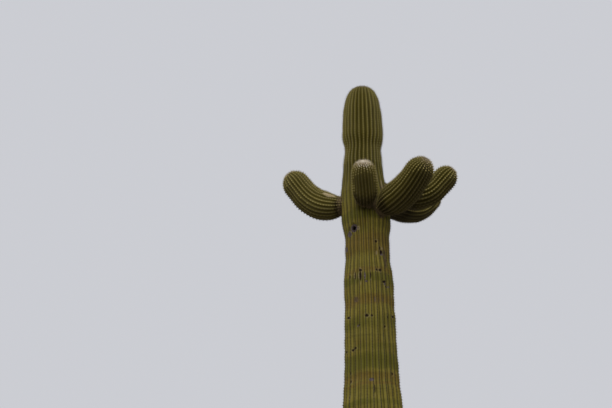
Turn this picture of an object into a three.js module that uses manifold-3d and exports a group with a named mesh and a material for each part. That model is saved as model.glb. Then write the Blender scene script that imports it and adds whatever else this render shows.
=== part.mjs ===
// Saguaro cactus: one ribbed trunk, cut flat at ground level, with a ring of five short upturned arms.
// Millimetres, +Z up. The origin is the centre of the ground cut, and -Y is the side that the arms are seen from.

import * as THREE from 'three';
import Module from 'manifold-3d';

// Trunk. Each station is the height, the radius over the ribs and the sideways place of the axis there.
const TRUNK_STATIONS = [
  [0, 250, 0], // ground cut, with a slight root flare
  [300, 238, -3],
  [1150, 251, -10],
  [2150, 263, -19], // widest growth
  [2900, 257, -25],
  [3270, 245, -28],
  [3500, 225, -31],
  [3870, 216, -35],
  [4000, 215, -36],
  [4110, 207, -36], // slight waist
  [4290, 209, -40],
  [4400, 204, -42],
  [4540, 190, -44], // long waist under the arms
  [4640, 192, -45],
  [4720, 189, -46],
  [4830, 206, -48],
  [4950, 212, -52], // collar that the arms leave from
  [5080, 209, -58],
  [5300, 181, -69],
  [5420, 171, -71],
  [5480, 167, -70],
  [5560, 157, -66], // waist above the arms
  [5680, 171, -66],
  [5800, 173.5, -67], // last year's bulge, and the base of the round crown
];
const CROWN_HEIGHT = 374;
const CROWN_POWER = 0.58; // 1 would be an ellipse, less is blunter
const CROWN_RINGS = [15, 30, 43, 55, 66, 75, 82, 87]; // degrees up the crown
const TRUNK_RIBS = 28;
const TRUNK_RIB_DEPTH = 18;
const RIB_CREST = 0.34; // share of a rib's pitch that is its flat crest

// Arms. compass is the plan angle of the stem from +X, swing its turn on the way to the tip, launch and
// rise the slopes at the stem and the tip in degrees, and bend the stretch of the length that it bends over.
const ARMS = [
  { name: 'arm_left', compass: 172, swing: 3.5, stem: 5051, launch: -8, rise: 53.5, length: 503,
    bend: [-0.05, 0.89], neck: 82, body: 129, tip: 118, ribs: 23 },
  { name: 'arm_front', compass: -93, swing: -5, stem: 5022, launch: 2, rise: 50, length: 304,
    bend: [0.2, 0.6], neck: 74, body: 105, tip: 102, ribs: 22 },
  { name: 'arm_front_right', compass: -49, swing: -6, stem: 4955, launch: 15, rise: 38, length: 521,
    bend: [0.34, 1.05], neck: 76, body: 134, tip: 120, ribs: 24 },
  { name: 'arm_right', compass: -9, swing: -1, stem: 5154, launch: -12, rise: 47, length: 576,
    bend: [0.36, 0.85], neck: 72, body: 114, tip: 105, ribs: 20 },
  { name: 'arm_back_right', compass: 34, swing: -1, stem: 5098, launch: -4, rise: 50, length: 609,
    bend: [0.25, 1.0], neck: 80, body: 105, tip: 101, ribs: 20 },
];
const ARM_RIB_DEPTH = 12;
const STEM_RADIUS = 195; // distance from the trunk's axis where an arm's length is counted from
const STEM_ROOT = 75; // how far the uncut stem runs on into the trunk
const NECK_LENGTH = 90; // over which a stem swells from its neck to its body
const NECK_RIB_FADE = 150; // over which the ribs deepen from their share at the stem
const NECK_RIB_SHARE = 0.35;
const TAPER_FROM = 0.4; // share of the length where the body starts to slim towards the tip
const SPLIT_AT = 0.42; // share of the length where the lower and upper limb part
const LOWER_STEPS = 4;
const UPPER_STEPS = 4;
const TIP_RINGS = [28, 54, 75];
const PATH_STEPS = 240;

// Clearances between solids that meet.
const LIMB_GAP = 0.3;
const STEM_GAP = 0.56; // measured outward from the trunk's axis; square to a rib's steep flank it is about 0.3

const TRUNK_COLOUR = 0x66643a;
const ARM_COLOUR = 0x6f6b3a;
const SKIN_ROUGHNESS = 0.78;

const wasm = await Module();
wasm.setup();

const radians = THREE.MathUtils.degToRad;
const blend = (from, to, value) => THREE.MathUtils.smoothstep(value, from, to);

// A ring of rib points: each rib has one groove point and the two edges of its crest.
function ribRing({ centre, side, up, radius, depth }, ribs) {
  const points = [];
  const pitch = (2 * Math.PI) / ribs;
  const place = (angle, reach) => centre.clone()
    .addScaledVector(side, reach * Math.cos(angle))
    .addScaledVector(up, reach * Math.sin(angle));
  for (let rib = 0; rib < ribs; rib += 1) {
    const crest = rib * pitch;
    points.push(place(crest - (RIB_CREST * pitch) / 2, radius));
    points.push(place(crest + (RIB_CREST * pitch) / 2, radius));
    points.push(place(crest + pitch / 2, radius - depth));
  }
  return points;
}

// One closed skin over a row of rings, from a flat first ring to the end point, which lies in the last
// ring's plane for a flat end and beyond it for a round one.
function ribbedGeometry(rings, ribs, end) {
  const loops = rings.map((ring) => ribRing(ring, ribs));
  const count = loops[0].length;
  const points = [...loops.flat(), rings[0].centre, end];
  const foot = loops.length * count;
  const last = (loops.length - 1) * count;
  const faces = [];
  for (let step = 0; step < count; step += 1) {
    const next = (step + 1) % count;
    faces.push(foot, next, step);
    faces.push(foot + 1, last + step, last + next);
    for (let row = 0; row < last; row += count) {
      faces.push(row + step, row + next, row + count + next);
      faces.push(row + step, row + count + next, row + count + step);
    }
  }
  const geometry = new THREE.BufferGeometry().setFromPoints(points);
  geometry.setIndex(faces);
  return geometry;
}

// The trunk's rings stand level over its leaning axis, and its ribs run together at the top of the crown.
function trunkGeometry(extra) {
  const side = new THREE.Vector3(1, 0, 0);
  const up = new THREE.Vector3(0, 1, 0);
  const rings = TRUNK_STATIONS.map(([z, radius, x]) => ({
    centre: new THREE.Vector3(x, 0, z),
    side,
    up,
    radius: radius + extra,
    depth: TRUNK_RIB_DEPTH,
  }));
  const [baseHeight, baseRadius, crownX] = TRUNK_STATIONS.at(-1);
  for (const degrees of CROWN_RINGS) {
    const share = Math.cos(radians(degrees)) ** CROWN_POWER;
    rings.push({
      centre: new THREE.Vector3(crownX, 0, baseHeight + CROWN_HEIGHT * Math.sin(radians(degrees))),
      side,
      up,
      radius: baseRadius * share + extra,
      depth: TRUNK_RIB_DEPTH * share,
    });
  }
  const apex = new THREE.Vector3(crownX, 0, baseHeight + CROWN_HEIGHT + extra);
  return ribbedGeometry(rings, TRUNK_RIBS, apex);
}

// The trunk's axis at a height, straight between its stations.
function trunkAxis(height) {
  const above = TRUNK_STATIONS.findIndex(([z]) => z > height);
  const [z0, , x0] = TRUNK_STATIONS[above - 1];
  const [z1, , x1] = TRUNK_STATIONS[above];
  return THREE.MathUtils.mapLinear(height, z0, z1, x0, x1);
}

// Direction of an arm at a distance along it: its slope eases from launch to rise, its plan angle by swing.
function armHeading(arm, distance) {
  const share = distance / arm.length;
  const slope = radians(THREE.MathUtils.lerp(arm.launch, arm.rise, blend(...arm.bend, share)));
  const compass = radians(arm.compass + arm.swing * blend(0, 1, share));
  const along = new THREE.Vector3(
    Math.cos(slope) * Math.cos(compass),
    Math.cos(slope) * Math.sin(compass),
    Math.sin(slope),
  );
  const side = new THREE.Vector3(-Math.sin(compass), Math.cos(compass), 0);
  const up = new THREE.Vector3().crossVectors(along, side);
  return { along, side, up };
}

// The arm's girth: a neck at the trunk, a body, and a slightly slimmer tip.
function armGirth(arm, distance) {
  const share = distance / arm.length;
  const body = THREE.MathUtils.lerp(arm.body, arm.tip, blend(TAPER_FROM, 1, share));
  const pinch = (1 - arm.neck / arm.body) * Math.exp(-((distance / NECK_LENGTH) ** 2));
  const depth = ARM_RIB_DEPTH * THREE.MathUtils.lerp(NECK_RIB_SHARE, 1, blend(0, NECK_RIB_FADE, distance));
  return { radius: body * (1 - pinch), depth };
}

// A ring at a distance along the arm, whose centre is found by adding up short steps from the stem.
function armRing(arm, distance) {
  const compass = radians(arm.compass);
  const centre = new THREE.Vector3(
    trunkAxis(arm.stem) + STEM_RADIUS * Math.cos(compass),
    STEM_RADIUS * Math.sin(compass),
    arm.stem,
  );
  const step = distance / PATH_STEPS;
  for (let index = 0; index < PATH_STEPS; index += 1) {
    centre.addScaledVector(armHeading(arm, (index + 0.5) * step).along, step);
  }
  return { centre, ...armHeading(arm, distance), ...armGirth(arm, distance) };
}

function ringsBetween(arm, start, finish, steps) {
  return Array.from({ length: steps + 1 }, (_, index) => (
    armRing(arm, THREE.MathUtils.lerp(start, finish, index / steps))
  ));
}

// From inside the trunk to the split, both ends flat.
function lowerLimb(arm) {
  const rings = ringsBetween(arm, 0, SPLIT_AT * arm.length, LOWER_STEPS);
  const root = { ...rings[0], centre: rings[0].centre.clone().addScaledVector(rings[0].along, -STEM_ROOT) };
  return ribbedGeometry([root, ...rings], arm.ribs, rings.at(-1).centre);
}

// From the split, with the gap left open, to the round tip.
function upperLimb(arm) {
  const rings = ringsBetween(arm, SPLIT_AT * arm.length, arm.length, UPPER_STEPS);
  const seam = rings[0];
  rings[0] = { ...seam, centre: seam.centre.clone().addScaledVector(seam.along, LIMB_GAP) };
  const last = rings.at(-1);
  for (const degrees of TIP_RINGS) {
    const share = Math.cos(radians(degrees));
    rings.push({
      ...last,
      centre: last.centre.clone().addScaledVector(last.along, last.radius * Math.sin(radians(degrees))),
      radius: last.radius * share,
      depth: last.depth * share,
    });
  }
  return ribbedGeometry(rings, arm.ribs, last.centre.clone().addScaledVector(last.along, last.radius));
}

function toSolid(geometry) {
  return new wasm.Manifold(new wasm.Mesh({
    numProp: 3,
    vertProperties: geometry.getAttribute('position').array,
    triVerts: new Uint32Array(geometry.getIndex().array),
  }));
}

function toGeometry(solid) {
  const { vertProperties, triVerts } = solid.getMesh();
  const geometry = new THREE.BufferGeometry();
  geometry.setAttribute('position', new THREE.BufferAttribute(new Float32Array(vertProperties), 3));
  geometry.setIndex(new THREE.BufferAttribute(new Uint32Array(triVerts), 1));
  return geometry;
}

function stem(name, geometry, colour) {
  const material = new THREE.MeshStandardMaterial({ color: colour, roughness: SKIN_ROUGHNESS, metalness: 0 });
  geometry.computeVertexNormals();
  const mesh = new THREE.Mesh(geometry, material);
  mesh.name = name;
  return mesh;
}

const cactus = new THREE.Group();
cactus.name = 'saguaro_cactus';
cactus.add(stem('trunk', trunkGeometry(0), TRUNK_COLOUR));

const trunkRoom = toSolid(trunkGeometry(STEM_GAP));
for (const arm of ARMS) {
  const lower = toSolid(lowerLimb(arm)).subtract(trunkRoom);
  cactus.add(stem(`${arm.name}_lower`, toGeometry(lower), ARM_COLOUR));
  cactus.add(stem(`${arm.name}_upper`, upperLimb(arm), ARM_COLOUR));
}

export default cactus;
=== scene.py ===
"""Looks of a saguaro cactus: a ribbed trunk with a ring of five short upturned arms.

Metres, +Z up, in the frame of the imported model. The photograph is seen from -Y, with +X to the right.
The named angles are in degrees. A pair of values is a range, or where a change starts and ends.
"""

import math

import bpy
import numpy as np
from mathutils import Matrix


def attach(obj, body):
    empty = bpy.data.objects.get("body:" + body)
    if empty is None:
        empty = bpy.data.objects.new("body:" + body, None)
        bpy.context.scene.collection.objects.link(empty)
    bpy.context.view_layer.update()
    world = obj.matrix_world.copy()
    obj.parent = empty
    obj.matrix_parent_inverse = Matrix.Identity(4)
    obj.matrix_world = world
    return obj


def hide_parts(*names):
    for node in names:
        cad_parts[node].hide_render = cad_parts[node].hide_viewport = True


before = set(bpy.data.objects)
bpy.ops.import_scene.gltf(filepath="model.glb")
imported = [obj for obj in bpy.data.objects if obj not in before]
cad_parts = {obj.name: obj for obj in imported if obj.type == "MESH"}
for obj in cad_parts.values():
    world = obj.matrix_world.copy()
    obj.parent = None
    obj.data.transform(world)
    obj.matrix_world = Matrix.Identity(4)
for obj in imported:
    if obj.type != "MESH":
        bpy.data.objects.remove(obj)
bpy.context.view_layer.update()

# Seeds of the random draws. The arms' seeds count up from theirs.
SEEDS = dict(trunk=11, arms=41, scars=71, belts=29, pads=23, radial=31, central=37, felt=53, hair_seats=59,
             hairs=61, zones=83)

# Camera, as the photograph was taken: from the left of the trunk, below the arms, looking up.
CAMERA_PLACE = (-0.575, -9.0, 1.6)
CAMERA_SLOPE = 21.0
PHOTO_WIDTH = 612
FOCAL_PIXELS = 1100.0
SENSOR_WIDTH = 36.0
VIEW_LIMIT = 200.0

# Stage: a pale floor just under the plant, an even dome of light and one soft key light.
FLOOR_RADIUS = 60.0
FLOOR_SIDES = 64
FLOOR_HEIGHT = -0.001
FLOOR_TONES = ((0.32, 0.30, 0.27), (0.35, 0.33, 0.30))
DOME_COLOUR = (0.60, 0.61, 0.65, 1)
KEY_COLOUR = (1.0, 0.99, 0.97)
KEY_STRENGTH = 3.5
KEY_SPREAD = 70
KEY_TURN = (38, 0, -15)

# Trunk, as in the part's source, in millimetres: height, radius over the ribs and place of the axis.
TRUNK_STATIONS = (
    (0, 250, 0), (300, 238, -3), (1150, 251, -10), (2150, 263, -19), (2900, 257, -25),
    (3270, 245, -28), (3500, 225, -31), (3870, 216, -35), (4000, 215, -36), (4110, 207, -36),
    (4290, 209, -40), (4400, 204, -42), (4540, 190, -44), (4640, 192, -45), (4720, 189, -46),
    (4830, 206, -48), (4950, 212, -52), (5080, 209, -58), (5300, 181, -69), (5420, 171, -71),
    (5480, 167, -70), (5560, 157, -66), (5680, 171, -66), (5800, 173.5, -67),
)
TRUNK_HEIGHTS, TRUNK_RADII, TRUNK_AXIS = np.array(TRUNK_STATIONS).T / 1000
TRUNK_STEP = 0.004
CROWN_HEIGHT = 0.374
CROWN_POWER = 0.52  # a little blunter than the faceted solid, whose rings cut its shoulder
CROWN_RINGS = (130, 89.7)  # how many, and the angle of the last
LAST_BULGE = (5.700, 0.075, 0.007)  # of the growth before the last: height, half height and rise
TRUNK_RIBS = 28
TRUNK_RIB_DEPTH = 0.019
SLIM_TRUNK = 0.17  # the ribs are shallower where the trunk's reach is less
OLD_RIB_SHARE = 0.68  # and in the old growth, up to where they deepen
OLD_RIB_FADE = (4.7, 5.3)

# Arms, as in the part's source. The last four are how far the corky neck reaches, the share of painted light
# that lightens the whole arm, how far the under side is darkened by painted shade, and the stretch by the
# stem that is darkened by painted shade where the other arms keep the light off.
ARM_FIELDS = ("name", "compass", "swing", "stem", "launch", "rise", "length", "bend",
              "neck", "body", "tip", "ribs", "cork", "bloom", "shade", "shaded")
ARM_ROWS = (
    ("arm_left", 172, 3.5, 5.051, -8, 53.5, 0.503, (-0.05, 0.89),
     0.082, 0.129, 0.118, 23, 0.060, 0.10, 0.42, 0.10),
    ("arm_front", -93, -5, 5.022, 2, 50, 0.304, (0.2, 0.6),
     0.074, 0.105, 0.102, 22, 0.040, 0.17, 0.50, 0.205),
    ("arm_front_right", -49, -6, 4.955, 15, 38, 0.521, (0.34, 1.05),
     0.076, 0.134, 0.120, 24, 0.040, 0.02, 0.62, 0.20),
    ("arm_right", -9, -1, 5.154, -12, 47, 0.576, (0.36, 0.85),
     0.072, 0.114, 0.105, 20, 0.040, 0.0, 0.66, 0.43),
    ("arm_back_right", 34, -1, 5.098, -4, 50, 0.609, (0.25, 1.0),
     0.080, 0.105, 0.101, 20, 0.040, 0.0, 0.70, 0.44),
)
ARMS = [dict(zip(ARM_FIELDS, row)) for row in ARM_ROWS]
ARM_STEP = 0.003
ARM_RIB_DEPTH = 0.013
STEM_RADIUS = 0.195
STEM_ROOT = 0.060
NECK_LENGTH = 0.090
NECK_RIB_FADE = 0.150
NECK_RIB_SHARE = 0.35
TAPER_FROM = 0.4  # share of the length
ARM_TIP_RINGS = (90, 89.5)

# Relief of the skin. A rib's profile falls from its crest by this power of the share across it.
OLD_RIB_POWER = 2.0
YOUNG_RIB_POWER = 1.15
YOUNG_FROM = (4.95, 5.40)
HALF_RIB = (0.14, 0.38, 0.64, 0.86)  # the samples between a crest and a groove
FOOT_TOP = 3.2
COLLAR = 4.95
TRUNK_PIECES = (
    ("trunk_foot_relief", 0, FOOT_TOP, 0.0094),
    ("trunk_lower_relief", FOOT_TOP, COLLAR, 0.0053),
    ("trunk_upper_relief", COLLAR, TRUNK_HEIGHTS[-1] + CROWN_HEIGHT, 0.0042),
)
ARM_ROW = 0.0032
LAP = 0.018  # how far each piece runs on past a seam, dipping under its neighbour
LAP_SINK = 0.0015

# Waves that make the limbs uneven: size, how many go round, and turn along a metre in radians.
WAVES = dict(
    wander=((0.05, 2, 2.3), (0.03, 5, -4.7)),  # of the ribs to the side, in shares of their pitch
    lumps=((0.0016, 2, 8.3), (0.0011, 5, -17)),
    bands=((1.5, 1, 0), (0.0012, 1, 47)),  # close growth rings, after the sway in radians that turns them
    ribs=((0.12, 4, 11), (0.08, 9, 3)),  # in shares of their depth
    felt=((0.12, 3, 0), (0.09, 7, 0)),  # in shares of a felt cap's radius
)
SLIM_LIMB = 0.08  # the waves fade where a limb's reach is less

# Areoles, spaced along each crest, closer on the young growth and at the tips.
AREOLE_PITCH_OLD = 0.024
AREOLE_PITCH_YOUNG = 0.0225
AREOLE_PITCH_TIP = 0.95  # of the young pitch
OLD_GROWTH_TOP = 3.0
TIP_REACH = 0.12  # how far from a tip its spines are longer and closer
TIP_CORE = 0.02  # and from where on they are so in full
SWELLING_YOUNG = 0.0016
SWELLING_OLD = 0.0005
BEADING = (1.4, 2.4)  # how far the crest's colour follows the areoles, away from a tip and at it
BEADING_REACH = 0.45
BEAD_LEVEL = 0.60  # midway between an areole and a gap
SEAT_STEP = 0.5  # of a ring, to find the skin's directions
SEAT_TURN = 0.3  # of a rib's share of a radian
BARE_GROUND = 0.04  # no areoles below this height
BARE_TIP = 0.018  # nor where a limb's tip is slimmer than this
BARE_RIM = 0.042  # nor nearer to the middle of the bird hole
BARE_STEM = 0.002  # nor, on an arm, this near to the trunk

# Pads of felt on the areoles.
PAD_HALF_LENGTH = 0.0052
PAD_HALF_WIDTH = 0.0040
PAD_RISE = 0.0022
PAD_ROOT = 0.0012
PAD_SHOULDER = (0.78, 0.6)  # of the size and of the rise
PAD_SIZES = (0.8, 1.15)
PAD_CORNERS = 5

# Spines and hairs: their tilt from the skin's normal and their width.
SPINE_KINDS = dict(radial=((55, 82), 0.0010), central=((6, 48), 0.0012))
HAIRS_A_SEAT = 3
HAIR_LENGTH = (0.005, 0.012)
HAIRS = ((0, 68), 0.0007)
TIP_SPINE_GROWTH = 1.28
SPINE_SCATTER = 0.35  # radians
SPINE_TWIST = 0.31  # gives every spine a side to build from

# Zones of spines: how many radial and central ones, their ranges of length, and their light and dark tone.
SPINE_ZONES = dict(
    foot=(6, 2, (0.004, 0.007), (0.009, 0.016), (0.062, 0.051, 0.025), (0.034, 0.028, 0.013)),
    trunk=(7, 4, (0.004, 0.008), (0.009, 0.017), (0.062, 0.051, 0.025), (0.034, 0.028, 0.013)),
    crown=(8, 6, (0.006, 0.010), (0.010, 0.020), (0.180, 0.148, 0.056), (0.105, 0.084, 0.030)),
    arms=(8, 6, (0.006, 0.010), (0.010, 0.018), (0.245, 0.200, 0.076), (0.145, 0.117, 0.040)),
    tips=(10, 8, (0.007, 0.011), (0.012, 0.020), (0.380, 0.315, 0.170), (0.235, 0.190, 0.098)),
    front_tip=(12, 10, (0.007, 0.011), (0.012, 0.022), (0.620, 0.550, 0.440), (0.420, 0.365, 0.275)),
    # the under sides' spines: a darker copy of those above, as painted shade
    arms_under=(8, 6, (0.006, 0.010), (0.010, 0.018), (0.090, 0.070, 0.030), (0.050, 0.038, 0.016)),
)
SPINE_GRAIN = (90, 0.6)  # scale and roughness
PAD_GRAIN = (260, 0.9)
FELT_GRAIN = (220, 0.9)
# the old skin's pads are dull; the same dull tone on the arms' under sides is painted shade
OLD_AND_SHADED_ZONES = ("foot", "trunk", "arms_under")
OLD_AND_SHADED_FELT = 0.8  # the pads' tone, as a share of the spines' tone
YOUNG_FELT = 1.7
UNDER_SIDE = -0.35  # the height part of a normal, below which a seat is on the under side

# Where spines turn paler, as shares of the way from where they begin to lengthen to the tip.
PALE_TIPPED = "arm_front"
NEAR_TIP = (0.10, 0.90)
NEAR_PALE_TIP = (0.22, 0.90)  # the palest, on the pale tipped arm
ROUND_PALE_TIP = (0.0, 0.20)  # the less pale ones round them

# Felt and hairs on the growing tips: radius and rise of the cap, spread of the hairs and their seats.
FELT = dict(
    front=(0.026, 0.005, 0.042, 420),
    arms=(0.022, 0.004, 0.030, 420),
    crown=(0.050, 0.005, 0.060, 700),
)
FELT_RINGS = 6
FELT_SPOKES = 40
FELT_ROOT = 0.002
FELT_EDGE = 0.0006  # how far its upper side is sunk at its edge
FELT_ROUGHNESS = (0.75, 1.25)  # of its rise
CREAM = ((0.74, 0.68, 0.60), (0.46, 0.41, 0.34))
TAN = ((0.30, 0.25, 0.16), (0.19, 0.155, 0.095))
HAIR_CHANCES = (0.02, 0.99)

# Scars on the trunk: bearing from +X, then height, half sizes and depth in millimetres.
SCARS = dict(
    pit=(
        (-70, 4649, 11, 12, 5), (-60, 4592, 10, 17, 5), (-56, 4559, 13, 19, 5), (-113, 4391, 11, 12, 5),
        (-72, 4393, 11, 11, 5), (-64, 4391, 14, 12, 5), (-143, 4345, 11, 19, 5), (-126, 4346, 4, 36, 4),
        (-113, 4339, 7, 48, 5), (-88, 4340, 5, 31, 4), (-54, 4295, 15, 12, 6), (-48, 4255, 15, 10, 5),
        (-22, 4180, 18, 12, 4), (-145, 4066, 10, 12, 4), (-101, 3993, 15, 14, 5), (-89, 3991, 11, 11, 4),
        (-49, 3991, 11, 12, 4), (-151, 4000, 13, 12, 5), (-26, 4009, 15, 12, 4), (-118, 3917, 9, 10, 5),
        (-58, 3907, 10, 11, 4), (-137, 3715, 15, 11, 4), (-130, 3726, 15, 10, 4), (-167, 3717, 15, 12, 4),
        (-44, 3517, 11, 13, 4), (-144, 3523, 11, 12, 4), (-143, 3453, 11, 14, 4), (-88, 3380, 5, 43, 3),
        (-145, 3324, 13, 14, 4),
    ),
    callus=(
        (-145, 4734, 30, 30, 3), (-167, 4616, 16, 28, 2), (-54, 4539, 12, 10, 3), (-102, 4336, 8, 36, 4),
        (-99, 4289, 10, 10, 4), (-53, 4274, 7, 12, 4), (-41, 4256, 14, 6, 4), (-24, 4276, 14, 14, 5),
        (-80, 4131, 5, 28, 3), (-59, 4136, 5, 28, 3), (-143, 3993, 8, 9, 2), (-122, 3912, 11, 10, 2),
        (-94, 3457, 24, 14, 3),
    ),
    pale=(
        (-56, 5235, 6, 32, 1), (-49, 5205, 8, 48, 1), (-41, 5190, 8, 50, 1), (-115, 4770, 16, 22, 1),
        (-53, 4594, 9, 13, 1), (-69, 4550, 9, 22, 1), (-129, 4349, 5, 36, 1), (-117, 4340, 6, 36, 1),
    ),
    cork=(
        (-46, 5160, 16, 22, 2), (-43, 4510, 10, 100, 1), (-46, 4366, 20, 6, 3), (-33, 4187, 12, 10, 3),
        (-70, 4131, 5, 28, 3), (-126, 4139, 26, 24, 1),
    ),
)
SCAR_EDGE = (0.55, 1.25)  # in half sizes from its middle
PIT_RIM = (1.45, 0.35, 0.6)  # its pale rim: how far out and how wide in half sizes, and how pale

# More scars out of view: how many are tried, and the ranges of their bearing, height and half sizes.
STREWN_SCARS = dict(pit=34, callus=26, pale=10, cork=14)
STREWN_SPANS = ((-180, 180), (0.9, 4.85), (0.008, 0.018), (0.009, 0.026))
STREWN_DEPTH = 0.004
BEARINGS_IN_VIEW = (-178, -2)

# Belts of growth on the old trunk: height, half height, and tone from green at -1 to brown at 1.
BELTS = (
    (4.900, 0.060, -0.8), (4.790, 0.030, -0.4), (4.655, 0.080, 0.7), (4.555, 0.035, 0.4),
    (4.395, 0.022, 0.8), (4.325, 0.042, -0.8), (4.135, 0.052, 0.8), (3.950, 0.065, -0.6),
    (3.735, 0.030, -0.5), (3.610, 0.085, -0.8), (3.490, 0.045, 0.7), (3.425, 0.014, 0.9),
)
BELT_WAVES = ((0.012, 2, 0, 0.7), (0.006, 5, 0, 2.1))

# More belts below them, down to the lowest.
FIRST_BELT_GAP = 0.15
LOWEST_BELT = 0.6
BELT_HALF_HEIGHTS = (0.025, 0.085)
BELT_TONES = (0.4, 0.9)
BELT_GAPS = (0.06, 0.15)

# The bird hole: its place, the trunk's reach there, and how far out it is deep, ends and is level.
BIRD_HOLE = dict(bearing=-129, height=4.776, reach=0.188, pit=0.026, edge=0.033, flat=0.050, depth=0.082)
HOLE_CALLUS = 0.5

# Its lining, from the outer shell over the lip to the bottom: radius, and depth under the skin.
HOLE_LINING = (
    (0.022, 0.077), (0.029, 0.062), (0.030, 0.014), (0.034, 0.006), (0.033, 0.001),
    (0.030, -0.002), (0.026, -0.003), (0.023, 0.000), (0.021, 0.006), (0.0205, 0.020),
    (0.021, 0.045), (0.019, 0.062), (0.010, 0.070),
)
HOLE_SPOKES = 48
HOLE_WAVES = ((0.06, 3, 0, 1.0), (0.04, 5, 90, 0.0))  # in shares of the radius, turning with the depth
LIP_DEPTH = 0.005
LIP_WAVES = ((0.0012, 4, 0, 0.6),)
# depths over which painted shade darkens the lining
HOLE_SHADE_DEPTHS = (0.004, 0.030)  # depths

# Painted shade on the arms' own bases, where the others keep the light off, and on the trunk under them. A
# slope is the part of the outward direction that points down.
BASE_SHADE = 0.85
BASE_SLOPES = (-0.5, 0.1)
UNDER_SLOPES = (0.1, 0.9)
SHADED_COLLAR = (-78, 38, 4.962, 0.042, 0.85)  # bearing and half spread, height and half height, and how dark

# A dry patch on the upper side of the left arm: distance from the stem, turn from its side, half sizes.
DRY_PATCH = dict(arm="arm_left", far=0.126, turn=40, half_length=0.080, half_width=0.032)
DRY_EDGE = (0.6, 1.2)  # in half sizes

# Corky skin: the heights between which the foot turns to cork, and rings of it round the arms' stems.
CORKY_FOOT = (0.62, 0.04)
CORK_TONGUES = ((0.07, 3, 0, 0.4), (0.05, 7, 0, 2.0), (0.04, 13, 0, 0.0))
CORKY_NECK = 0.4  # share of an arm's corky neck that is cork all over
STEM_CORK = 0.55
STEM_CORK_REACH = 0.022

# Colours of the skin. The flanks are mottled with two.
OLD_FLANK = ((0.110, 0.092, 0.016), (0.143, 0.115, 0.018))
OLD_CREST = (0.034, 0.028, 0.013)
BELT_BROWN = (0.110, 0.070, 0.014)
BELT_GREEN = (0.062, 0.060, 0.006)
YOUNG_FLANK = ((0.060, 0.050, 0.005), (0.078, 0.063, 0.006))
YOUNG_CREST = (0.178, 0.153, 0.058)
# painted light, laid over some arms all over
PAINTED_LIGHT = (0.190, 0.160, 0.050)
MOTTLE = (0.066, 0.058, 0.008)
BROWN = (0.095, 0.060, 0.010)
# painted shade on the arms' under sides and bases, and on the trunk under the arms
PAINTED_SHADE = (0.010, 0.006, 0.001)
# painted shade in the grooves; also the tone of the dark lines along the growth rings
GROOVE_SHADE_AND_RING = (0.012, 0.009, 0.001)
CORK = (0.098, 0.070, 0.036)
PALE = (0.180, 0.142, 0.074)
PIT = (0.012, 0.007, 0.005)
CALLUS = (0.052, 0.040, 0.043)
CALLUS_CRUST = (0.130, 0.102, 0.102)
LIP = (0.030, 0.022, 0.019)
DRY = (0.360, 0.290, 0.175)
# painted shade deep in the bird hole
HOLLOW_SHADE = (0.016, 0.010, 0.008)


# Curves and limbs

def eased(value, low, high):
    """0 below low, 1 above high, with a smooth rise between."""
    share = np.clip((np.asarray(value, dtype=float) - low) / (high - low), 0, 1)
    return share * share * (3 - 2 * share)


def draws(use):
    return np.random.default_rng(SEEDS[use])


def mixed(first, second, share):
    return first + (second - first) * share


def unit(vectors):
    return vectors / np.linalg.norm(vectors, axis=-1, keepdims=True)


def wrapped(angle):
    return (angle + math.pi) % (2 * math.pi) - math.pi


def round_turn(count):
    return np.arange(count) * 2 * math.pi / count


def summed(line):
    """Distance along a row of points."""
    return np.concatenate([[0], np.cumsum(np.linalg.norm(np.diff(line, axis=0), axis=1))])


def ripple(waves, angle, far=0.0):
    """The sum of some waves at an angle round a limb and a distance along it."""
    return sum(size * np.sin(count * angle + winding * far + phase) for size, count, winding, phase in waves)


def smooth_through(known, values, at):
    """A smooth curve through stations that never overshoots them."""
    step = np.diff(known)
    rise = np.diff(values) / step
    slope = np.concatenate([rise[:1], np.zeros(len(rise) - 1), rise[-1:]])
    inner = np.flatnonzero(rise[:-1] * rise[1:] > 0)
    before = 2 * step[inner + 1] + step[inner]
    after = step[inner + 1] + 2 * step[inner]
    slope[inner + 1] = (before + after) / (before / rise[inner] + after / rise[inner + 1])
    left = np.clip(np.searchsorted(known, at, side="right") - 1, 0, len(step) - 1)
    width = step[left]
    share = (at - known[left]) / width
    start = (1 + 2 * share) * (1 - share) ** 2 * values[left]
    finish = share ** 2 * (3 - 2 * share) * values[left + 1]
    lift = share * (1 - share) ** 2 * slope[left] - share ** 2 * (1 - share) * slope[left + 1]
    return start + finish + lift * width


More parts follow.
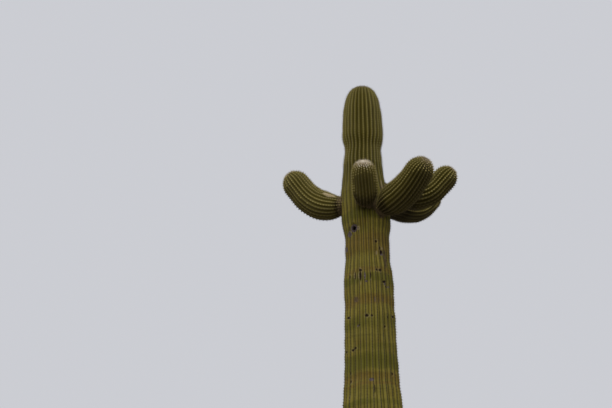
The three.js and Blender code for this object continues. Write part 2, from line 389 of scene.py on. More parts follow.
class Limb:
    """A ribbed stem, held as close rings along its length: centre, two directions, reach and rib depth."""

    def __init__(self, name, ribs, path, reach, depth, young, seed):
        self.name = name
        self.ribs = ribs
        self.centre, self.side, self.up = path
        self.reach = reach
        self.depth = depth
        self.young = young
        self.power = mixed(OLD_RIB_POWER, YOUNG_RIB_POWER, young)
        self.swelling = mixed(SWELLING_OLD, SWELLING_YOUNG, young)
        self.end = len(reach) - 1
        self.rings = np.arange(self.end + 1, dtype=float)
        phases = np.random.default_rng(seed).uniform(0, 2 * math.pi, (len(WAVES), 2))
        self.waves = {kind: [(*wave, phase) for wave, phase in zip(WAVES[kind], pair)]
                      for kind, pair in zip(WAVES, phases)}
        self.length = summed(self.centre)
        ways = (-self.side, self.side, -self.up, self.up)
        lines = [self.centre + reach[:, None] * way for way in ways]
        self.skin = np.mean([summed(line) for line in lines], axis=0)
        to_tip = self.skin[-1] - self.skin
        self.tip = eased(to_tip, TIP_REACH, TIP_CORE)
        self.beading = mixed(*BEADING, eased(to_tip, BEADING_REACH, TIP_REACH))
        grown = np.maximum(young, eased(self.centre[:, 2], OLD_GROWTH_TOP, YOUNG_FROM[1]))
        pitch = mixed(AREOLE_PITCH_OLD, AREOLE_PITCH_YOUNG, grown) * mixed(1, AREOLE_PITCH_TIP, self.tip)
        steps = 2 * np.diff(self.skin) / (pitch[1:] + pitch[:-1])
        self.count = np.concatenate([[0], np.cumsum(steps)])

    def between(self, rows, place):
        """The rings' values at places that lie between two rings."""
        left = np.clip(np.floor(place).astype(int), 0, self.end - 1)
        share = place - left
        if rows.ndim == 2:
            share = share[..., None]
        return mixed(rows[left], rows[left + 1], share)

    def areoles_passed(self, place, rib):
        """How many areoles lie below a place. Those of odd ribs are half out of step."""
        return self.between(self.count, place) + 0.5 * (rib % 2)

    def beat(self, place, rib):
        """1 at each areole, and 0 midway between two."""
        return 0.5 + 0.5 * np.cos(2 * math.pi * self.areoles_passed(place, rib))

    def point(self, place, angle):
        """A point of the skin, at a place along the rings and a nominal angle round them."""
        pitch = 2 * math.pi / self.ribs
        phase = angle / pitch
        rib = np.round(phase)
        across = 2 * np.abs(phase - rib)
        far = self.between(self.length, place)
        reach = self.between(self.reach, place)
        share = np.clip(reach / SLIM_LIMB, 0, 1)
        swelling = self.between(self.swelling, place) * self.beat(place, rib) ** 2 * (1 - across) ** 2
        sway, rings = self.waves["bands"]
        bands = ripple([rings], ripple([sway], angle), far)
        rise = ripple(self.waves["lumps"], angle, far) + bands + swelling
        uneven = 1 + ripple(self.waves["ribs"], angle, far)
        groove = self.between(self.depth, place) * uneven * across ** self.between(self.power, place)
        reach = reach + rise * share - groove
        turn = angle + ripple(self.waves["wander"], angle, far) * pitch * share
        side = self.between(self.side, place)
        up = self.between(self.up, place)
        out = np.cos(turn)[..., None] * side + np.sin(turn)[..., None] * up
        return self.between(self.centre, place) + reach[..., None] * out

    def seats(self, place, angle):
        turn = SEAT_TURN / self.ribs
        ahead = self.point(np.minimum(place + SEAT_STEP, self.end), angle)
        behind = self.point(place - SEAT_STEP, angle)
        along = unit(ahead - behind)
        sideways = self.point(place, angle + turn) - self.point(place, angle - turn)
        normal = unit(np.cross(sideways, along))
        return Seats(self.point(place, angle), normal, along, self.between(self.tip, place))


class Seats:
    """Where small things sit: places, outward normals, directions along the limb, and nearness to a tip."""

    def __init__(self, place, normal, along, tip):
        self.place = place
        self.normal = normal
        self.along = along
        self.tip = tip
        self.beside = np.cross(normal, along)

    def kept(self, keep):
        return Seats(self.place[keep], self.normal[keep], self.along[keep], self.tip[keep])


def joined(groups):
    names = ("place", "normal", "along", "tip")
    return Seats(*(np.concatenate([getattr(group, name) for group in groups]) for name in names))


def round_end(rings):
    """The angles up a round end, one for each of its rings."""
    count, last = rings
    return np.radians(np.linspace(0, last, count))


def trunk_limb():
    top = TRUNK_HEIGHTS[-1]
    height = np.arange(0, top, TRUNK_STEP)
    lift = round_end(CROWN_RINGS)
    z = np.concatenate([height, top + CROWN_HEIGHT * np.sin(lift)])
    crown = TRUNK_RADII[-1] * np.cos(lift) ** CROWN_POWER
    reach = np.concatenate([smooth_through(TRUNK_HEIGHTS, TRUNK_RADII, height), crown])
    middle, half_height, rise = LAST_BULGE
    reach = reach + rise * np.exp(-((z - middle) / half_height) ** 2)
    straight = np.full(len(lift), TRUNK_AXIS[-1])
    x = np.concatenate([smooth_through(TRUNK_HEIGHTS, TRUNK_AXIS, height), straight])
    share = np.minimum(1, reach / SLIM_TRUNK) * mixed(OLD_RIB_SHARE, 1, eased(z, *OLD_RIB_FADE))
    centre = np.stack([x, np.zeros_like(z), z], axis=1)
    side = np.tile([1.0, 0.0, 0.0], (len(z), 1))
    up = np.tile([0.0, 1.0, 0.0], (len(z), 1))
    path = (centre, side, up)
    young = eased(z, *YOUNG_FROM)
    return Limb("trunk", TRUNK_RIBS, path, reach, TRUNK_RIB_DEPTH * share, young, SEEDS["trunk"])


def trunk_axis(height):
    return np.interp(height, TRUNK_HEIGHTS, TRUNK_AXIS)


def arm_directions(arm, share):
    """Directions along, beside and over an arm. It eases from its launch slope to its rise slope."""
    slope = np.radians(mixed(arm["launch"], arm["rise"], eased(share, *arm["bend"])))
    compass = np.radians(arm["compass"] + arm["swing"] * eased(share, 0, 1))
    level = np.cos(slope)
    along = np.stack([level * np.cos(compass), level * np.sin(compass), np.sin(slope)], axis=1)
    side = np.stack([-np.sin(compass), np.cos(compass), np.zeros_like(compass)], axis=1)
    return along, side, np.cross(along, side)


def arm_limb(arm, seed):
    """An arm, from inside the trunk to its round tip."""
    far = np.arange(-STEM_ROOT, arm["length"], ARM_STEP)
    share = np.clip(far / arm["length"], 0, 1)
    along, side, up = arm_directions(arm, share)
    bearing = math.radians(arm["compass"])
    foot = trunk_axis(arm["stem"])
    stem = np.array([foot + STEM_RADIUS * math.cos(bearing), STEM_RADIUS * math.sin(bearing), arm["stem"]])
    steps = np.cumsum((along[1:] + along[:-1]) / 2 * ARM_STEP, axis=0)
    centre = stem - along[0] * STEM_ROOT + np.concatenate([np.zeros((1, 3)), steps])
    body = mixed(arm["body"], arm["tip"], eased(share, TAPER_FROM, 1))
    reach = body * (1 - (1 - arm["neck"] / arm["body"]) * np.exp(-(far / NECK_LENGTH) ** 2))
    depth = ARM_RIB_DEPTH * mixed(NECK_RIB_SHARE, 1, eased(far, 0, NECK_RIB_FADE))
    lift = round_end(ARM_TIP_RINGS)[1:]
    over = np.ones(len(lift))[:, None]
    centre = np.concatenate([centre, centre[-1] + along[-1] * reach[-1] * np.sin(lift)[:, None]])
    side = np.concatenate([side, side[-1] * over])
    up = np.concatenate([up, up[-1] * over])
    depth = np.concatenate([depth, depth[-1] * np.cos(lift)])
    reach = np.concatenate([reach, reach[-1] * np.cos(lift)])
    return Limb(arm["name"], arm["ribs"], (centre, side, up), reach, depth, np.ones(len(reach)), seed)


# Meshes

def new_object(name, data):
    thing = bpy.data.objects.new(name, data)
    bpy.context.scene.collection.objects.link(thing)
    return thing


def new_piece(name, points, faces, flat_faces=(), smooth=True):
    """A mesh object from a point array and lists of face arrays, each with a fixed number of corners."""
    mesh = bpy.data.meshes.new(name)
    every = [*faces, *flat_faces]
    corners = np.concatenate([face.ravel() for face in every]).astype(np.int32)
    sizes = np.concatenate([np.full(len(face), face.shape[1]) for face in every])
    shading = np.full(len(sizes), smooth)
    shading[sum(len(face) for face in faces):] = False
    mesh.vertices.add(len(points))
    mesh.vertices.foreach_set("co", np.ascontiguousarray(points, dtype=np.float32).ravel())
    mesh.loops.add(len(corners))
    mesh.loops.foreach_set("vertex_index", corners)
    mesh.polygons.add(len(sizes))
    mesh.polygons.foreach_set("loop_start", np.concatenate([[0], np.cumsum(sizes)[:-1]]).astype(np.int32))
    mesh.polygons.foreach_set("use_smooth", shading)
    mesh.update(calc_edges=True)
    mesh.validate()
    return new_object(name, mesh)


def add_values(piece, name, values):
    layer = piece.data.attributes.new(name, "FLOAT", "POINT")
    layer.data.foreach_set("value", np.ascontiguousarray(values, dtype=np.float32))


def dress(piece, material):
    piece.data.materials.append(material)
    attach(piece, "root")


def ring_rows(limb, spacing, start, finish):
    """Places along the rings, from start to finish, evenly spaced over the skin."""
    first, last = np.interp([start, finish], limb.rings, limb.skin)
    count = math.ceil((last - first) / spacing)
    return np.interp(np.linspace(first, last, count + 1), limb.skin, limb.rings)


def rib_samples(ribs):
    """Angles round a limb, close together at each crest and groove."""
    right = np.array(HALF_RIB)
    phases = np.concatenate([[0.0], right / 2, [0.5], 1 - right[::-1] / 2])
    return ((np.arange(ribs)[:, None] + phases[None]) * 2 * math.pi / ribs).ravel()


def tube_faces(rows, count):
    """Quads between the rows of a closed tube, and a fan of triangles over each end."""
    row, step = np.meshgrid(np.arange(rows - 1), np.arange(count), indexing="ij")
    following = (step + 1) % count
    start = row * count
    over = start + count
    quads = np.stack([start + step, start + following, over + following, over + step], axis=-1)
    step = np.arange(count)
    following = (step + 1) % count
    foot = np.full(count, rows * count)
    last = (rows - 1) * count
    bottom = np.stack([foot, following, step], axis=-1)
    top = np.stack([foot + 1, last + step, last + following], axis=-1)
    return [quads.reshape(-1, 4)], [bottom, top]


def lap_sink(height, low, high):
    past = np.maximum(low - height, height - high)
    return LAP_SINK * np.clip(past / LAP, 0, 1) ** 3


def relief_piece(limb, name, rows, marks, low=-math.inf, high=math.inf):
    """A stretch of the limb's skin as one closed mesh, with the values that its material reads."""
    place, turn = np.meshgrid(rows, rib_samples(limb.ribs), indexing="ij")
    phase = turn * limb.ribs / (2 * math.pi)
    rib = np.round(phase)
    beads = limb.between(limb.beading, place) * (limb.beat(place, rib) - 0.5)
    values = dict(
        across=2 * np.abs(phase - rib),
        bead=np.clip(BEAD_LEVEL + beads, 0, 1),
        young=limb.between(limb.young, place),
    )
    points, marked = marks(limb, limb.point(place, turn), place, turn)
    values.update(marked)
    centre = limb.between(limb.centre, place)
    points = points - unit(points - centre) * lap_sink(centre[..., 2], low, high)[..., None]
    ends = limb.between(limb.centre, rows[[0, -1]])
    wall, caps = tube_faces(len(rows), points.shape[1])
    piece = new_piece(name, np.concatenate([points.reshape(-1, 3), ends]), wall, caps)
    for key, value in values.items():
        add_values(piece, key, np.append(value.ravel(), [value[0, 0], value[-1, 0]]))
    return piece


# Marks on the skin

def arm_marks(arm):
    """Gives the function that marks an arm: corky neck, painted light, painted shade, and the dry patch where
    it has it.
    """

    def marks(limb, points, place, turn):
        far = limb.between(limb.length, place) - STEM_ROOT
        down = -unit(points - limb.between(limb.centre, place))[..., 2]
        # painted shade: on the base, where the other arms keep the light off, and on the under side
        base = BASE_SHADE * eased(far, arm["shaded"], 0.5 * arm["shaded"]) * eased(down, *BASE_SLOPES)
        values = dict(
            cork=eased(far, arm["cork"], CORKY_NECK * arm["cork"]),
            under=np.maximum(arm["shade"] * eased(down, *UNDER_SLOPES), base),
            bloom=np.full(far.shape, arm["bloom"]),
        )
        if DRY_PATCH["arm"] == limb.name:
            sideways = wrapped(turn - math.radians(DRY_PATCH["turn"])) * arm["body"] / DRY_PATCH["half_width"]
            apart = np.hypot(sideways, (far - DRY_PATCH["far"]) / DRY_PATCH["half_length"])
            values["dry"] = 1 - eased(apart, *DRY_EDGE)
        return points, values

    return marks


class TrunkSkin:
    """Points of the trunk's skin: their heights, distances from the axis, level ways outward and bearings."""

    def __init__(self, points):
        self.height = points[..., 2]
        level = [points[..., 0] - trunk_axis(self.height), points[..., 1], np.zeros_like(self.height)]
        out = np.stack(level, axis=-1)
        self.radius = np.linalg.norm(out, axis=-1)
        self.out = out / self.radius[..., None]
        self.bearing = np.arctan2(self.out[..., 1], self.out[..., 0])

    def turn_from(self, bearing):
        return wrapped(self.bearing - math.radians(bearing))

    def beside(self, bearing):
        return self.turn_from(bearing) * self.radius


def trunk_marks(limb, points, place, turn):
    """Presses the scars and bird hole into the trunk's skin, and marks cork, belts and painted shade under
    arms and in the hole.
    """
    skin = TrunkSkin(points)
    values, sink = scar_marks(skin)
    values["cork"] = np.maximum(values["cork"], cork_share(skin))
    values["belt"] = belt_tones(skin)
    # painted shade on the trunk under the arms
    values["under"] = collar_shade(skin)
    hole = BIRD_HOLE
    apart = np.hypot(skin.beside(hole["bearing"]), skin.height - hole["height"])
    hollow = 1 - eased(apart, hole["pit"], hole["edge"])
    level = 1 - eased(apart, hole["edge"], hole["flat"])
    # painted shade on the skin inside the bird hole
    values["hollow"] = hollow
    values["callus"] = np.maximum(values["callus"], HOLE_CALLUS * level)
    sink = mixed(sink, skin.radius - hole["reach"], level) + hole["depth"] * hollow
    return points - skin.out * sink[..., None], values


def scar_marks(skin):
    """How far each kind of scar covers the skin, and how deep all of them sink it."""
    values = {kind: np.zeros(skin.height.shape) for kind in SCARS}
    sink = np.zeros(skin.height.shape)
    rim_place, rim_width, rim_tone = PIT_RIM
    placed = [(kind, bearing, *np.divide(sizes, 1000))
              for kind, rows in SCARS.items() for bearing, *sizes in rows]
    for kind, bearing, middle, half_width, half_height, depth in placed + strewn_scars():
        apart = np.hypot(skin.beside(bearing) / half_width, (skin.height - middle) / half_height)
        inside = 1 - eased(apart, *SCAR_EDGE)
        values[kind] = np.maximum(values[kind], inside)
        if kind == "pit":
            rim = rim_tone * np.exp(-((apart - rim_place) / rim_width) ** 2)
            values["pale"] = np.maximum(values["pale"], rim)
        sink = np.maximum(sink, depth * inside)
    return values, sink


def strewn_scars():
    """More scars like those in view, over the trunk's back and its lower part."""
    spin = draws("scars")
    first, last = BEARINGS_IN_VIEW
    rows = []
    for kind, count in STREWN_SCARS.items():
        for _ in range(count):
            bearing, height, *half_sizes = [spin.uniform(*span) for span in STREWN_SPANS]
            in_view = height > FOOT_TOP and first < bearing < last
            if not in_view:
                rows.append((kind, bearing, height, *half_sizes, STREWN_DEPTH))
    return rows


def cork_share(skin):
    """The corky foot with its ragged upper edge, and the corky rings round the arms' stems."""
    share = eased(skin.height + ripple(CORK_TONGUES, skin.bearing), *CORKY_FOOT)
    for arm in ARMS:
        apart = np.hypot(skin.beside(arm["compass"]), skin.height - arm["stem"]) - arm["neck"]
        share = np.maximum(share, STEM_CORK * np.exp(-(apart / STEM_CORK_REACH) ** 2))
    return share


def collar_shade(skin):
    """Painted shade on the trunk under the front arm and the one beside it."""
    bearing, spread, height, half_height, dark = SHADED_COLLAR
    sideways = np.degrees(skin.turn_from(bearing)) / spread
    return dark * np.exp(-sideways ** 4 - ((skin.height - height) / half_height) ** 4)


def strewn_belts():
    """More belts like those in view, down the rest of the trunk."""
    spin = draws("belts")
    rows = []
    height = BELTS[-1][0] - FIRST_BELT_GAP
    while height > LOWEST_BELT:
        half_height = spin.uniform(*BELT_HALF_HEIGHTS)
        tone = spin.uniform(*BELT_TONES) * spin.choice((-1, 1))
        rows.append((height, half_height, tone))
        height -= half_height + spin.uniform(*BELT_GAPS)
    return rows


def belt_tones(skin):
    """The tone of the belts, whose edges wave a little round the trunk."""
    wavy = skin.height + ripple(BELT_WAVES, skin.bearing)
    tones = np.zeros(wavy.shape)
    for middle, half_height, tone in (*BELTS, *strewn_belts()):
        tones += tone * np.exp(-((wavy - middle) / half_height) ** 4)
    return tones


# Areoles, spines and felt

def crest_seats(limb):
    places, angles = [], []
    for rib in range(limb.ribs):
        count = limb.areoles_passed(limb.rings, rib)
        at = np.interp(np.arange(1, math.floor(count[-1])), count, limb.rings)
        places.append(at)
        angles.append(np.full(len(at), rib * 2 * math.pi / limb.ribs))
    place = np.concatenate(places)
    seats = limb.seats(place, np.concatenate(angles))
    stout = limb.between(limb.reach, place) > BARE_TIP
    return seats.kept(stout & (seats.place[:, 2] > BARE_GROUND))


def hole_place():
    """The middle of the bird hole at the trunk's reach, and the level ways out of it and beside it."""
    bearing = math.radians(BIRD_HOLE["bearing"])
    out = np.array([math.cos(bearing), math.sin(bearing), 0])
    side = np.array([-math.sin(bearing), math.cos(bearing), 0])
    axis = np.array([trunk_axis(BIRD_HOLE["height"]), 0, BIRD_HOLE["height"]])
    return axis + out * BIRD_HOLE["reach"], out, side


def off_hole(place):
    middle, _, _ = hole_place()
    return np.linalg.norm(place - middle, axis=1) > BARE_RIM


def off_trunk(place):
    out = np.hypot(place[:, 0] - trunk_axis(place[:, 2]), place[:, 1])
    return out > np.interp(place[:, 2], TRUNK_HEIGHTS, TRUNK_RADII) + BARE_STEM


def pads_piece(name, seats):
    size = draws("pads").uniform(*PAD_SIZES, len(seats.place))[:, None]
    width, rise = PAD_SHOULDER
    rows = []
    for spread, lift in ((1.0, -PAD_ROOT), (width, rise * PAD_RISE)):
        for turn in round_turn(PAD_CORNERS):
            edge = seats.along * math.cos(turn) * PAD_HALF_LENGTH
            edge = edge + seats.beside * math.sin(turn) * PAD_HALF_WIDTH
            rows.append(seats.place + edge * spread * size + seats.normal * lift)
    rows.append(seats.place + seats.normal * PAD_RISE * size)
    faces = []
    for step in range(PAD_CORNERS):
        following = (step + 1) % PAD_CORNERS
        over, over_following = PAD_CORNERS + step, PAD_CORNERS + following
        faces += [(step, over_following, following), (step, over, over_following)]
        faces.append((2 * PAD_CORNERS, over_following, over))
    faces += [(0, step, step + 1) for step in range(1, PAD_CORNERS - 1)]
    return repeated_piece(name, rows, faces, smooth=True)


def repeated_piece(name, rows, faces, smooth):
    """One joined mesh of many small things: rows holds each of their points, and faces is for one of them."""
    points = np.concatenate([row.reshape(-1, 1, 3) for row in rows], axis=1)
    count, each, _ = points.shape
    first = np.arange(count)[:, None, None] * each
    triangles = (first + np.array(faces)[None]).reshape(-1, 3)
    return new_piece(name, points.reshape(-1, 3), [triangles], smooth=smooth)


def spines_piece(name, seats, count, length, tilt, width, use):
    spin = draws(use)
    shape = (len(seats.place), count)
    normal, along, beside = seats.normal[:, None], seats.along[:, None], seats.beside[:, None]
    around = round_turn(count) + spin.uniform(-SPINE_SCATTER, SPINE_SCATTER, shape)
    lean = np.radians(spin.uniform(*tilt, shape))
    reach = spin.uniform(*length, shape) * mixed(1.0, TIP_SPINE_GROWTH, seats.tip)[:, None]
    flat = np.cos(around)[..., None] * along + np.sin(around)[..., None] * beside
    heading = np.cos(lean)[..., None] * normal + np.sin(lean)[..., None] * flat
    root = seats.place[:, None] + flat * PAD_HALF_WIDTH * 0.5 + normal * PAD_RISE * 0.2
    first = unit(np.cross(heading, normal + SPINE_TWIST * along))
    second = np.cross(heading, first)
    rows = []
    for turn in round_turn(3):
        rows.append(root + (math.cos(turn) * first + math.sin(turn) * second) * width / 2)
    rows.append(root + heading * reach[..., None])
    return repeated_piece(name, rows, [(0, 1, 3), (1, 2, 3), (2, 0, 3), (0, 2, 1)], smooth=False)


def tip_places(limb, distance):
    """Places along the rings at a distance over the skin from the tip."""
    return np.interp(limb.skin[-1] - distance, limb.skin, limb.rings)


def felt_cap(limb, radius, rise):
    """A cap of felt over a tip: an under side that is sunk in the skin, and an uneven upper side."""
    spin = draws("felt")
    turn = round_turn(FELT_SPOKES)
    ragged = 1 + ripple(limb.waves["felt"], turn)
    share = np.concatenate([np.arange(1, FELT_RINGS), np.arange(FELT_RINGS, 0, -1)]) / FELT_RINGS
    upper = np.concatenate([np.zeros(FELT_RINGS - 1), np.ones(FELT_RINGS)])
    out = tip_places(limb, radius * share[:, None] * ragged[None])
    angle = np.broadcast_to(turn, out.shape)
    seats = limb.seats(out.ravel(), angle.ravel())
    lift = upper * rise * (1 - share ** 2) - FELT_ROOT * (1 - upper) - FELT_EDGE * share
    lift = lift[:, None] * spin.uniform(*FELT_ROUGHNESS, out.shape)
    points = seats.place + seats.normal * lift.ravel()[:, None]
    axis = unit(np.cross(limb.side[-1], limb.up[-1]))
    ends = limb.centre[-1] + np.outer([-FELT_ROOT, rise], axis)
    wall, caps = tube_faces(len(share), FELT_SPOKES)
    return np.concatenate([points, ends]), wall, caps


def felt_piece(name, limbs, radius, rise):
    """A felt cap on each of some limbs, as one mesh."""
    points, walls, caps, total = [], [], [], 0
    for limb in limbs:
        own, wall, ends = felt_cap(limb, radius, rise)
        points.append(own)
        walls += [face + total for face in wall]
        caps += [face + total for face in ends]
        total += len(own)
    return new_piece(name, np.concatenate(points), walls + caps)


def felt_seats(limb, spread, count):
    """Seats for the hairs round a tip, thinning out over about this distance."""
    spin = draws("hair_seats")
    distance = spread * np.sqrt(-np.log(spin.uniform(*HAIR_CHANCES, count)))
    return limb.seats(tip_places(limb, distance), spin.uniform(0, 2 * math.pi, count))


# Materials

class Nodes:
    """A short way to write a material's node tree."""

    def __init__(self, name):
        self.material = bpy.data.materials.new(name)
        self.material.use_nodes = True
        self.tree = self.material.node_tree
        self.coordinates = self.tree.nodes.new("ShaderNodeTexCoord").outputs["Object"]

    def fill(self, node, inputs):
        """Links each socket among the inputs to the node, and sets each plain value on it."""
        for key, source in inputs.items():
            if isinstance(source, bpy.types.NodeSocket):
                self.tree.links.new(source, node.inputs[key])
            else:
                node.inputs[key].default_value = source

    def add(self, kind, output, inputs, **settings):
        node = self.tree.nodes.new(f"ShaderNode{kind}")
        for name, setting in settings.items():
            setattr(node, name, setting)
        self.fill(node, inputs)
        return node.outputs[output]

    def value(self, name):
        return self.add("Attribute", "Fac", {}, attribute_name=name)

    def noise(self, scale, detail=3.0, roughness=0.55, stretch=None):
        """A noise at one scale, or with stretch also at one along each axis."""
        vector = self.coordinates
        if stretch is not None:
            vector = self.add("Mapping", "Vector", dict(Vector=vector, Scale=stretch))
        inputs = dict(Vector=vector, Scale=scale, Detail=detail, Roughness=roughness)
        return self.add("TexNoise", "Fac", inputs)

    def cells(self, scale):
        return self.add("TexVoronoi", "Distance", dict(Vector=self.coordinates, Scale=scale))

    def ranged(self, source, low, high, to_low=0.0, to_high=1.0):
        inputs = {"Value": source, "From Min": low, "From Max": high, "To Min": to_low, "To Max": to_high}
        return self.add("MapRange", "Result", inputs, interpolation_type="SMOOTHSTEP")

    def maths(self, operation, first, second):
        return self.add("Math", "Value", {0: first, 1: second}, operation=operation)

    def swing(self, source, size):
        return self.maths("MULTIPLY", self.maths("SUBTRACT", source, 0.5), size)

    def between(self, share, first, second):
        return self.add("Mix", 0, {0: share, 2: first, 3: second}, data_type="FLOAT")

    def mix(self, share, first, second):
        """Mixes two colours, each a socket or a plain colour, by a share."""
        first, second = ((*part, 1) if isinstance(part, tuple) else part for part in (first, second))
        return self.add("Mix", 2, {0: share, 6: first, 7: second}, data_type="RGBA")

    def laid(self, colour, paint, source, low, high, strength=1.0):
        """Lays a paint over a colour, more and more as a source goes from low to high."""
        return self.mix(self.ranged(source, low, high, 0.0, strength), colour, paint)

    def bump(self, height, strength, distance, **below):
        inputs = dict(Height=height, Strength=strength, Distance=distance, **below)
        return self.add("Bump", "Normal", inputs)

    def finish(self, colour, roughness, normal, specular=0.07):
        inputs = {"Base Color": colour, "Roughness": roughness, "Normal": normal}
        self.fill(self.tree.nodes["Principled BSDF"], {**inputs, "Specular IOR Level": specular})
        return self.material


def toned(colour, tone):
    return tuple(tone * part for part in colour)


def flank_colour(nodes, young):
    """Mottled olive, browner and belted where the skin is old."""
    patches = nodes.ranged(nodes.noise(2.6, detail=4), 0.36, 0.66)
    old = nodes.mix(patches, *OLD_FLANK)
    old = nodes.laid(old, BROWN, nodes.noise(8, detail=4), 0.50, 0.72, 0.45)
    belt = nodes.maths("ADD", nodes.value("belt"), nodes.noise(11, detail=5, roughness=0.6))
    old = nodes.laid(old, BELT_BROWN, belt, 0.65, 1.35, 0.70)
    old = nodes.laid(old, BELT_GREEN, belt, 0.35, -0.35, 0.70)
    colour = nodes.mix(young, old, nodes.mix(patches, *YOUNG_FLANK))
    colour = nodes.laid(colour, MOTTLE, nodes.noise(38, detail=5, roughness=0.6), 0.42, 0.70, 0.35)
    # dark lines along the growth rings, in the grooves' tone
    rings = nodes.noise(1.0, detail=3, stretch=(0.7, 0.7, 19.0))
    return nodes.laid(colour, GROOVE_SHADE_AND_RING, rings, 0.56, 0.72, 0.25)


def striped(nodes, colour, young):
    """Painted shade in the grooves, wide on young skin; crests that are dark on old skin and pale at the
    areoles of young skin.
    """
    across = nodes.value("across")
    # painted shade in the grooves, which on young skin spreads over the flanks
    old_groove_shade = nodes.ranged(across, 0.78, 0.92, 0.0, 0.66)
    young_groove_shade = nodes.ranged(across, 0.20, 0.80, 0.0, 0.58)
    colour = nodes.mix(nodes.between(young, old_groove_shade, young_groove_shade), colour, GROOVE_SHADE_AND_RING)
    old_crest = nodes.ranged(across, 0.22, 0.08, 0.0, 0.84)
    young_crest = nodes.maths("MULTIPLY", nodes.ranged(across, 0.42, 0.14), nodes.value("bead"))
    crest = nodes.mix(young, OLD_CREST, YOUNG_CREST)
    return nodes.mix(nodes.between(young, old_crest, young_crest), colour, crest)


def edged(nodes, value, ragged):
    """A share that is full or nought, with a ragged edge between."""
    return nodes.ranged(nodes.maths("ADD", value, ragged), 0.35, 0.60)


def corked(nodes, colour, ragged):
    """Adds cracked corky skin that ends in tongues, and gives its share too."""
    value = nodes.value("cork")
    tongues = nodes.swing(nodes.noise(1.0, detail=5, stretch=(13.0, 13.0, 3.0)), 1.5)
    cork = edged(nodes, nodes.maths("ADD", value, tongues), ragged)
    cork = nodes.maths("MULTIPLY", cork, nodes.ranged(value, 0.0, 0.25))
    cracks = nodes.noise(1.0, detail=6, roughness=0.62, stretch=(60.0, 60.0, 22.0))
    bark = nodes.laid(toned(CORK, 0.5), CORK, cracks, 0.38, 0.66)
    return nodes.mix(cork, colour, bark), cork


def crusted(nodes, colour):
    """A callus colour under a broken crust."""
    return nodes.laid(colour, CALLUS_CRUST, nodes.noise(150, detail=4), 0.4, 0.7)


def scarred(nodes, colour, ragged):
    """Adds scuffs, the dry patch, callus, pits and painted shade in the hole. Gives the share of callus and
    pits too.
    """
    colour = nodes.laid(colour, PALE, nodes.maths("ADD", nodes.value("pale"), ragged), 0.20, 0.95, 0.8)
    colour = nodes.laid(colour, DRY, nodes.maths("ADD", nodes.value("dry"), ragged), 0.15, 0.95, 0.9)
    callus = edged(nodes, nodes.value("callus"), ragged)
    colour = nodes.mix(callus, colour, crusted(nodes, CALLUS))
    pit = edged(nodes, nodes.value("pit"), ragged)
    colour = nodes.mix(pit, colour, PIT)
    # painted shade in the bird hole
    colour = nodes.laid(colour, HOLLOW_SHADE, nodes.value("hollow"), 0.3, 0.8)
    return colour, nodes.maths("MAXIMUM", callus, pit)


def skin_material(name):
    """Waxy ribbed skin: mottled olive flanks, crests and grooves by age, corky ends, callus, pits, painted
    light and shade.
    """
    nodes = Nodes(name)
    young = nodes.value("young")
    ragged = nodes.swing(nodes.noise(24, detail=6, roughness=0.65), 0.9)
    colour = striped(nodes, flank_colour(nodes, young), young)
    # painted light: some arms are lightened all over
    colour = nodes.mix(nodes.value("bloom"), colour, PAINTED_LIGHT)
    # painted shade on the arms' under sides and bases, and on the trunk under the arms
    colour = nodes.mix(nodes.value("under"), colour, PAINTED_SHADE)
    colour, cork = corked(nodes, colour, ragged)
    colour, sore = scarred(nodes, colour, ragged)
    dry = nodes.maths("MAXIMUM", cork, sore)
    roughness = nodes.ranged(nodes.noise(45, detail=4), 0.3, 0.7, 0.50, 0.72)
    roughness = nodes.maths("MAXIMUM", roughness, nodes.maths("MULTIPLY", dry, 0.9))
    creases = nodes.noise(1.0, detail=5, stretch=(14.0, 14.0, 130.0))
    normal = nodes.bump(creases, 0.35, 0.003)
    normal = nodes.bump(nodes.cells(420), 0.2, 0.0008, Normal=normal)
    crumbs = nodes.maths("MULTIPLY", dry, nodes.noise(120, detail=6))
    normal = nodes.bump(crumbs, 0.9, 0.004, Normal=normal)
    return nodes.finish(colour, roughness, normal)


def lining_material():
    """The callus that lines the bird hole, crusted at its lip, with painted shade that makes it nearly black
    inside.
    """
    nodes = Nodes("hole_callus")
    colour = nodes.mix(nodes.value("hollow"), crusted(nodes, LIP), HOLLOW_SHADE)
    roughness = nodes.ranged(nodes.noise(45, detail=4), 0.3, 0.7, 0.8, 0.95)
    return nodes.finish(colour, roughness, nodes.bump(nodes.noise(120, detail=6), 0.8, 0.003))


def dry_material(name, light, dark, scale, roughness):
    """Dry spines and felt: two close tones in a fine grain."""
    nodes = Nodes(name)
    colour = nodes.laid(dark, light, nodes.noise(scale, detail=4), 0.35, 0.68)
    rough = nodes.ranged(nodes.noise(scale * 1.7), 0.3, 0.7, roughness - 0.12, roughness + 0.08)
    normal = nodes.bump(nodes.noise(scale * 6, detail=3), 0.4, 0.0008)
    return nodes.finish(colour, rough, normal, specular=0.06)


# The plant

def build_trunk():
    """The trunk's skin, in three pieces that lap a little where they meet."""
    limb = trunk_limb()
    material = skin_material("trunk_skin")
    for name, low, high, spacing in TRUNK_PIECES:
        ends = np.interp([low - LAP, high + LAP], limb.centre[:, 2], limb.rings)
        piece = relief_piece(limb, name, ring_rows(limb, spacing, *ends), trunk_marks, low, high)
        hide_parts("trunk")
        dress(piece, material)
    return limb


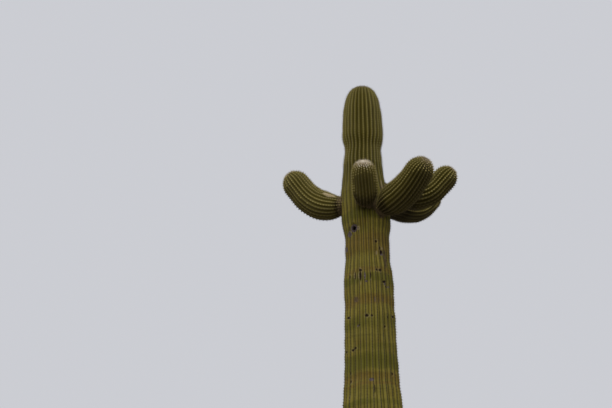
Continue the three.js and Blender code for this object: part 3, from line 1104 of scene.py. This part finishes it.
def build_hole_lining():
    """A funnel of callus in the bird hole, with an uneven lip that stands a little proud of the skin."""
    radius, depth = np.array(HOLE_LINING).T
    middle, out, side = hole_place()
    turn = round_turn(HOLE_SPOKES)
    lumps = 1 + ripple(HOLE_WAVES, turn, depth[:, None])
    lift = ripple(LIP_WAVES, turn) * (depth[:, None] < LIP_DEPTH)
    ring = np.cos(turn)[:, None] * side + np.sin(turn)[:, None] * np.array([0, 0, 1])
    points = middle + (radius[:, None] * lumps)[..., None] * ring + (lift - depth[:, None])[..., None] * out
    ends = middle - np.outer([depth[0], depth[-1]], out)
    wall, caps = tube_faces(len(radius), HOLE_SPOKES)
    piece = new_piece("bird_hole_lining", np.concatenate([points.reshape(-1, 3), ends]), wall + caps)
    # painted shade, darker deeper in the hole
    hollow = np.repeat(eased(depth, *HOLE_SHADE_DEPTHS), HOLE_SPOKES)
    add_values(piece, "hollow", np.append(hollow, [1, 1]))
    dress(piece, lining_material())


def build_arms():
    material = skin_material("arm_skin")
    limbs = []
    for seed, arm in enumerate(ARMS, start=SEEDS["arms"]):
        limb = arm_limb(arm, seed)
        rows = ring_rows(limb, ARM_ROW, 0, limb.end)
        piece = relief_piece(limb, f"{arm['name']}_relief", rows, arm_marks(arm))
        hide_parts(f"{arm['name']}_lower", f"{arm['name']}_upper")
        dress(piece, material)
        limbs.append(limb)
    return limbs


def trunk_zones(trunk):
    seats = crest_seats(trunk)
    seats = seats.kept(off_hole(seats.place))
    height = seats.place[:, 2]
    low = height < FOOT_TOP
    high = height >= YOUNG_FROM[1]
    return dict(foot=seats.kept(low), trunk=seats.kept(~low & ~high), crown=seats.kept(high))


def arm_zones(arms):
    """The arms' seats by zone: the pale tip in front, the other tips, the upper sides, and the under sides in
    painted shade.
    """
    spin = draws("zones")
    zones = dict(front_tip=[], tips=[], arms=[], arms_under=[])
    for limb in arms:
        seats = crest_seats(limb)
        seats = seats.kept(off_trunk(seats.place))
        pale_tipped = limb.name == PALE_TIPPED
        chance = spin.uniform(0, 1, len(seats.place))
        near_tip = seats.tip > mixed(*(ROUND_PALE_TIP if pale_tipped else NEAR_TIP), chance)
        palest = pale_tipped & (seats.tip > mixed(*NEAR_PALE_TIP, chance))
        under = (seats.normal[:, 2] < UNDER_SIDE) & ~near_tip
        zones["front_tip"].append(seats.kept(palest))
        zones["tips"].append(seats.kept(near_tip & ~palest))
        zones["arms"].append(seats.kept(~under & ~near_tip))
        zones["arms_under"].append(seats.kept(under))
    return {name: joined(groups) for name, groups in zones.items()}


def build_spines(trunk, arms):
    """Areole pads, radial spines and central spines, each kind one piece a zone."""
    for name, group in (trunk_zones(trunk) | arm_zones(arms)).items():
        radials, centrals, radial_length, central_length, light, dark = SPINE_ZONES[name]
        tone = OLD_AND_SHADED_FELT if name in OLD_AND_SHADED_ZONES else YOUNG_FELT
        pads = pads_piece(f"areoles_{name}", group)
        felt = dry_material(f"{name}_areole_felt", toned(light, tone), toned(dark, tone), *PAD_GRAIN)
        straw = dry_material(f"{name}_spine_straw", light, dark, *SPINE_GRAIN)
        dress(pads, felt)
        kinds = (("radial", radials, radial_length), ("central", centrals, central_length))
        for kind, count, length in kinds:
            spines = spines_piece(f"{kind}_spines_{name}", group, count, length, *SPINE_KINDS[kind], kind)
            dress(spines, straw)


def build_felt(trunk, arms):
    """Felt and fine hairs on each growing tip. The arm in front has the palest."""
    cream = dry_material("cream_felt", *CREAM, *FELT_GRAIN)
    tan = dry_material("tan_felt", *TAN, *FELT_GRAIN)
    front = [limb for limb in arms if limb.name == PALE_TIPPED]
    others = [limb for limb in arms if limb.name != PALE_TIPPED]
    for name, limbs, material in (("front", front, cream), ("arms", others, tan), ("crown", [trunk], tan)):
        radius, rise, spread, count = FELT[name]
        dress(felt_piece(f"felt_{name}", limbs, radius, rise), material)
        seats = joined([felt_seats(limb, spread, count) for limb in limbs])
        hairs = spines_piece(f"felt_hairs_{name}", seats, HAIRS_A_SEAT, HAIR_LENGTH, *HAIRS, "hairs")
        dress(hairs, material)


# Stage

def make_camera():
    data = bpy.data.cameras.new("camera")
    data.sensor_width = SENSOR_WIDTH
    data.lens = FOCAL_PIXELS / PHOTO_WIDTH * SENSOR_WIDTH
    data.clip_end = VIEW_LIMIT
    camera = new_object("camera", data)
    camera.location = CAMERA_PLACE
    camera.rotation_euler = (math.radians(90 + CAMERA_SLOPE), 0, 0)
    bpy.context.scene.camera = camera


def make_floor():
    """A plain pale floor, wide enough to fill the views from further off."""
    angle = round_turn(FLOOR_SIDES)
    height = np.full(FLOOR_SIDES, FLOOR_HEIGHT)
    points = np.stack([FLOOR_RADIUS * np.cos(angle), FLOOR_RADIUS * np.sin(angle), height], axis=1)
    floor = new_piece("floor", points, [np.arange(FLOOR_SIDES)[None]])
    nodes = Nodes("pale_floor")
    colour = nodes.mix(nodes.noise(1.5), *FLOOR_TONES)
    roughness = nodes.ranged(nodes.noise(8), 0.3, 0.7, 0.8, 0.9)
    floor.data.materials.append(nodes.finish(colour, roughness, nodes.bump(nodes.noise(60), 0.1, 0.001)))


def make_light():
    world = bpy.data.worlds.new("studio_dome")
    world.use_nodes = True
    dome = world.node_tree.nodes["Background"]
    dome.inputs["Color"].default_value = DOME_COLOUR
    dome.inputs["Strength"].default_value = 1.0
    bpy.context.scene.world = world
    data = bpy.data.lights.new("soft_key_light", "SUN")
    data.energy = KEY_STRENGTH
    data.angle = math.radians(KEY_SPREAD)
    data.color = KEY_COLOUR
    light = new_object("soft_key_light", data)
    light.rotation_euler = [math.radians(turn) for turn in KEY_TURN]
    light.visible_camera = False


def main():
    bpy.context.scene.view_settings.view_transform = "Standard"
    make_camera()
    make_floor()
    make_light()
    trunk = build_trunk()
    build_hole_lining()
    arms = build_arms()
    build_spines(trunk, arms)
    build_felt(trunk, arms)


main()
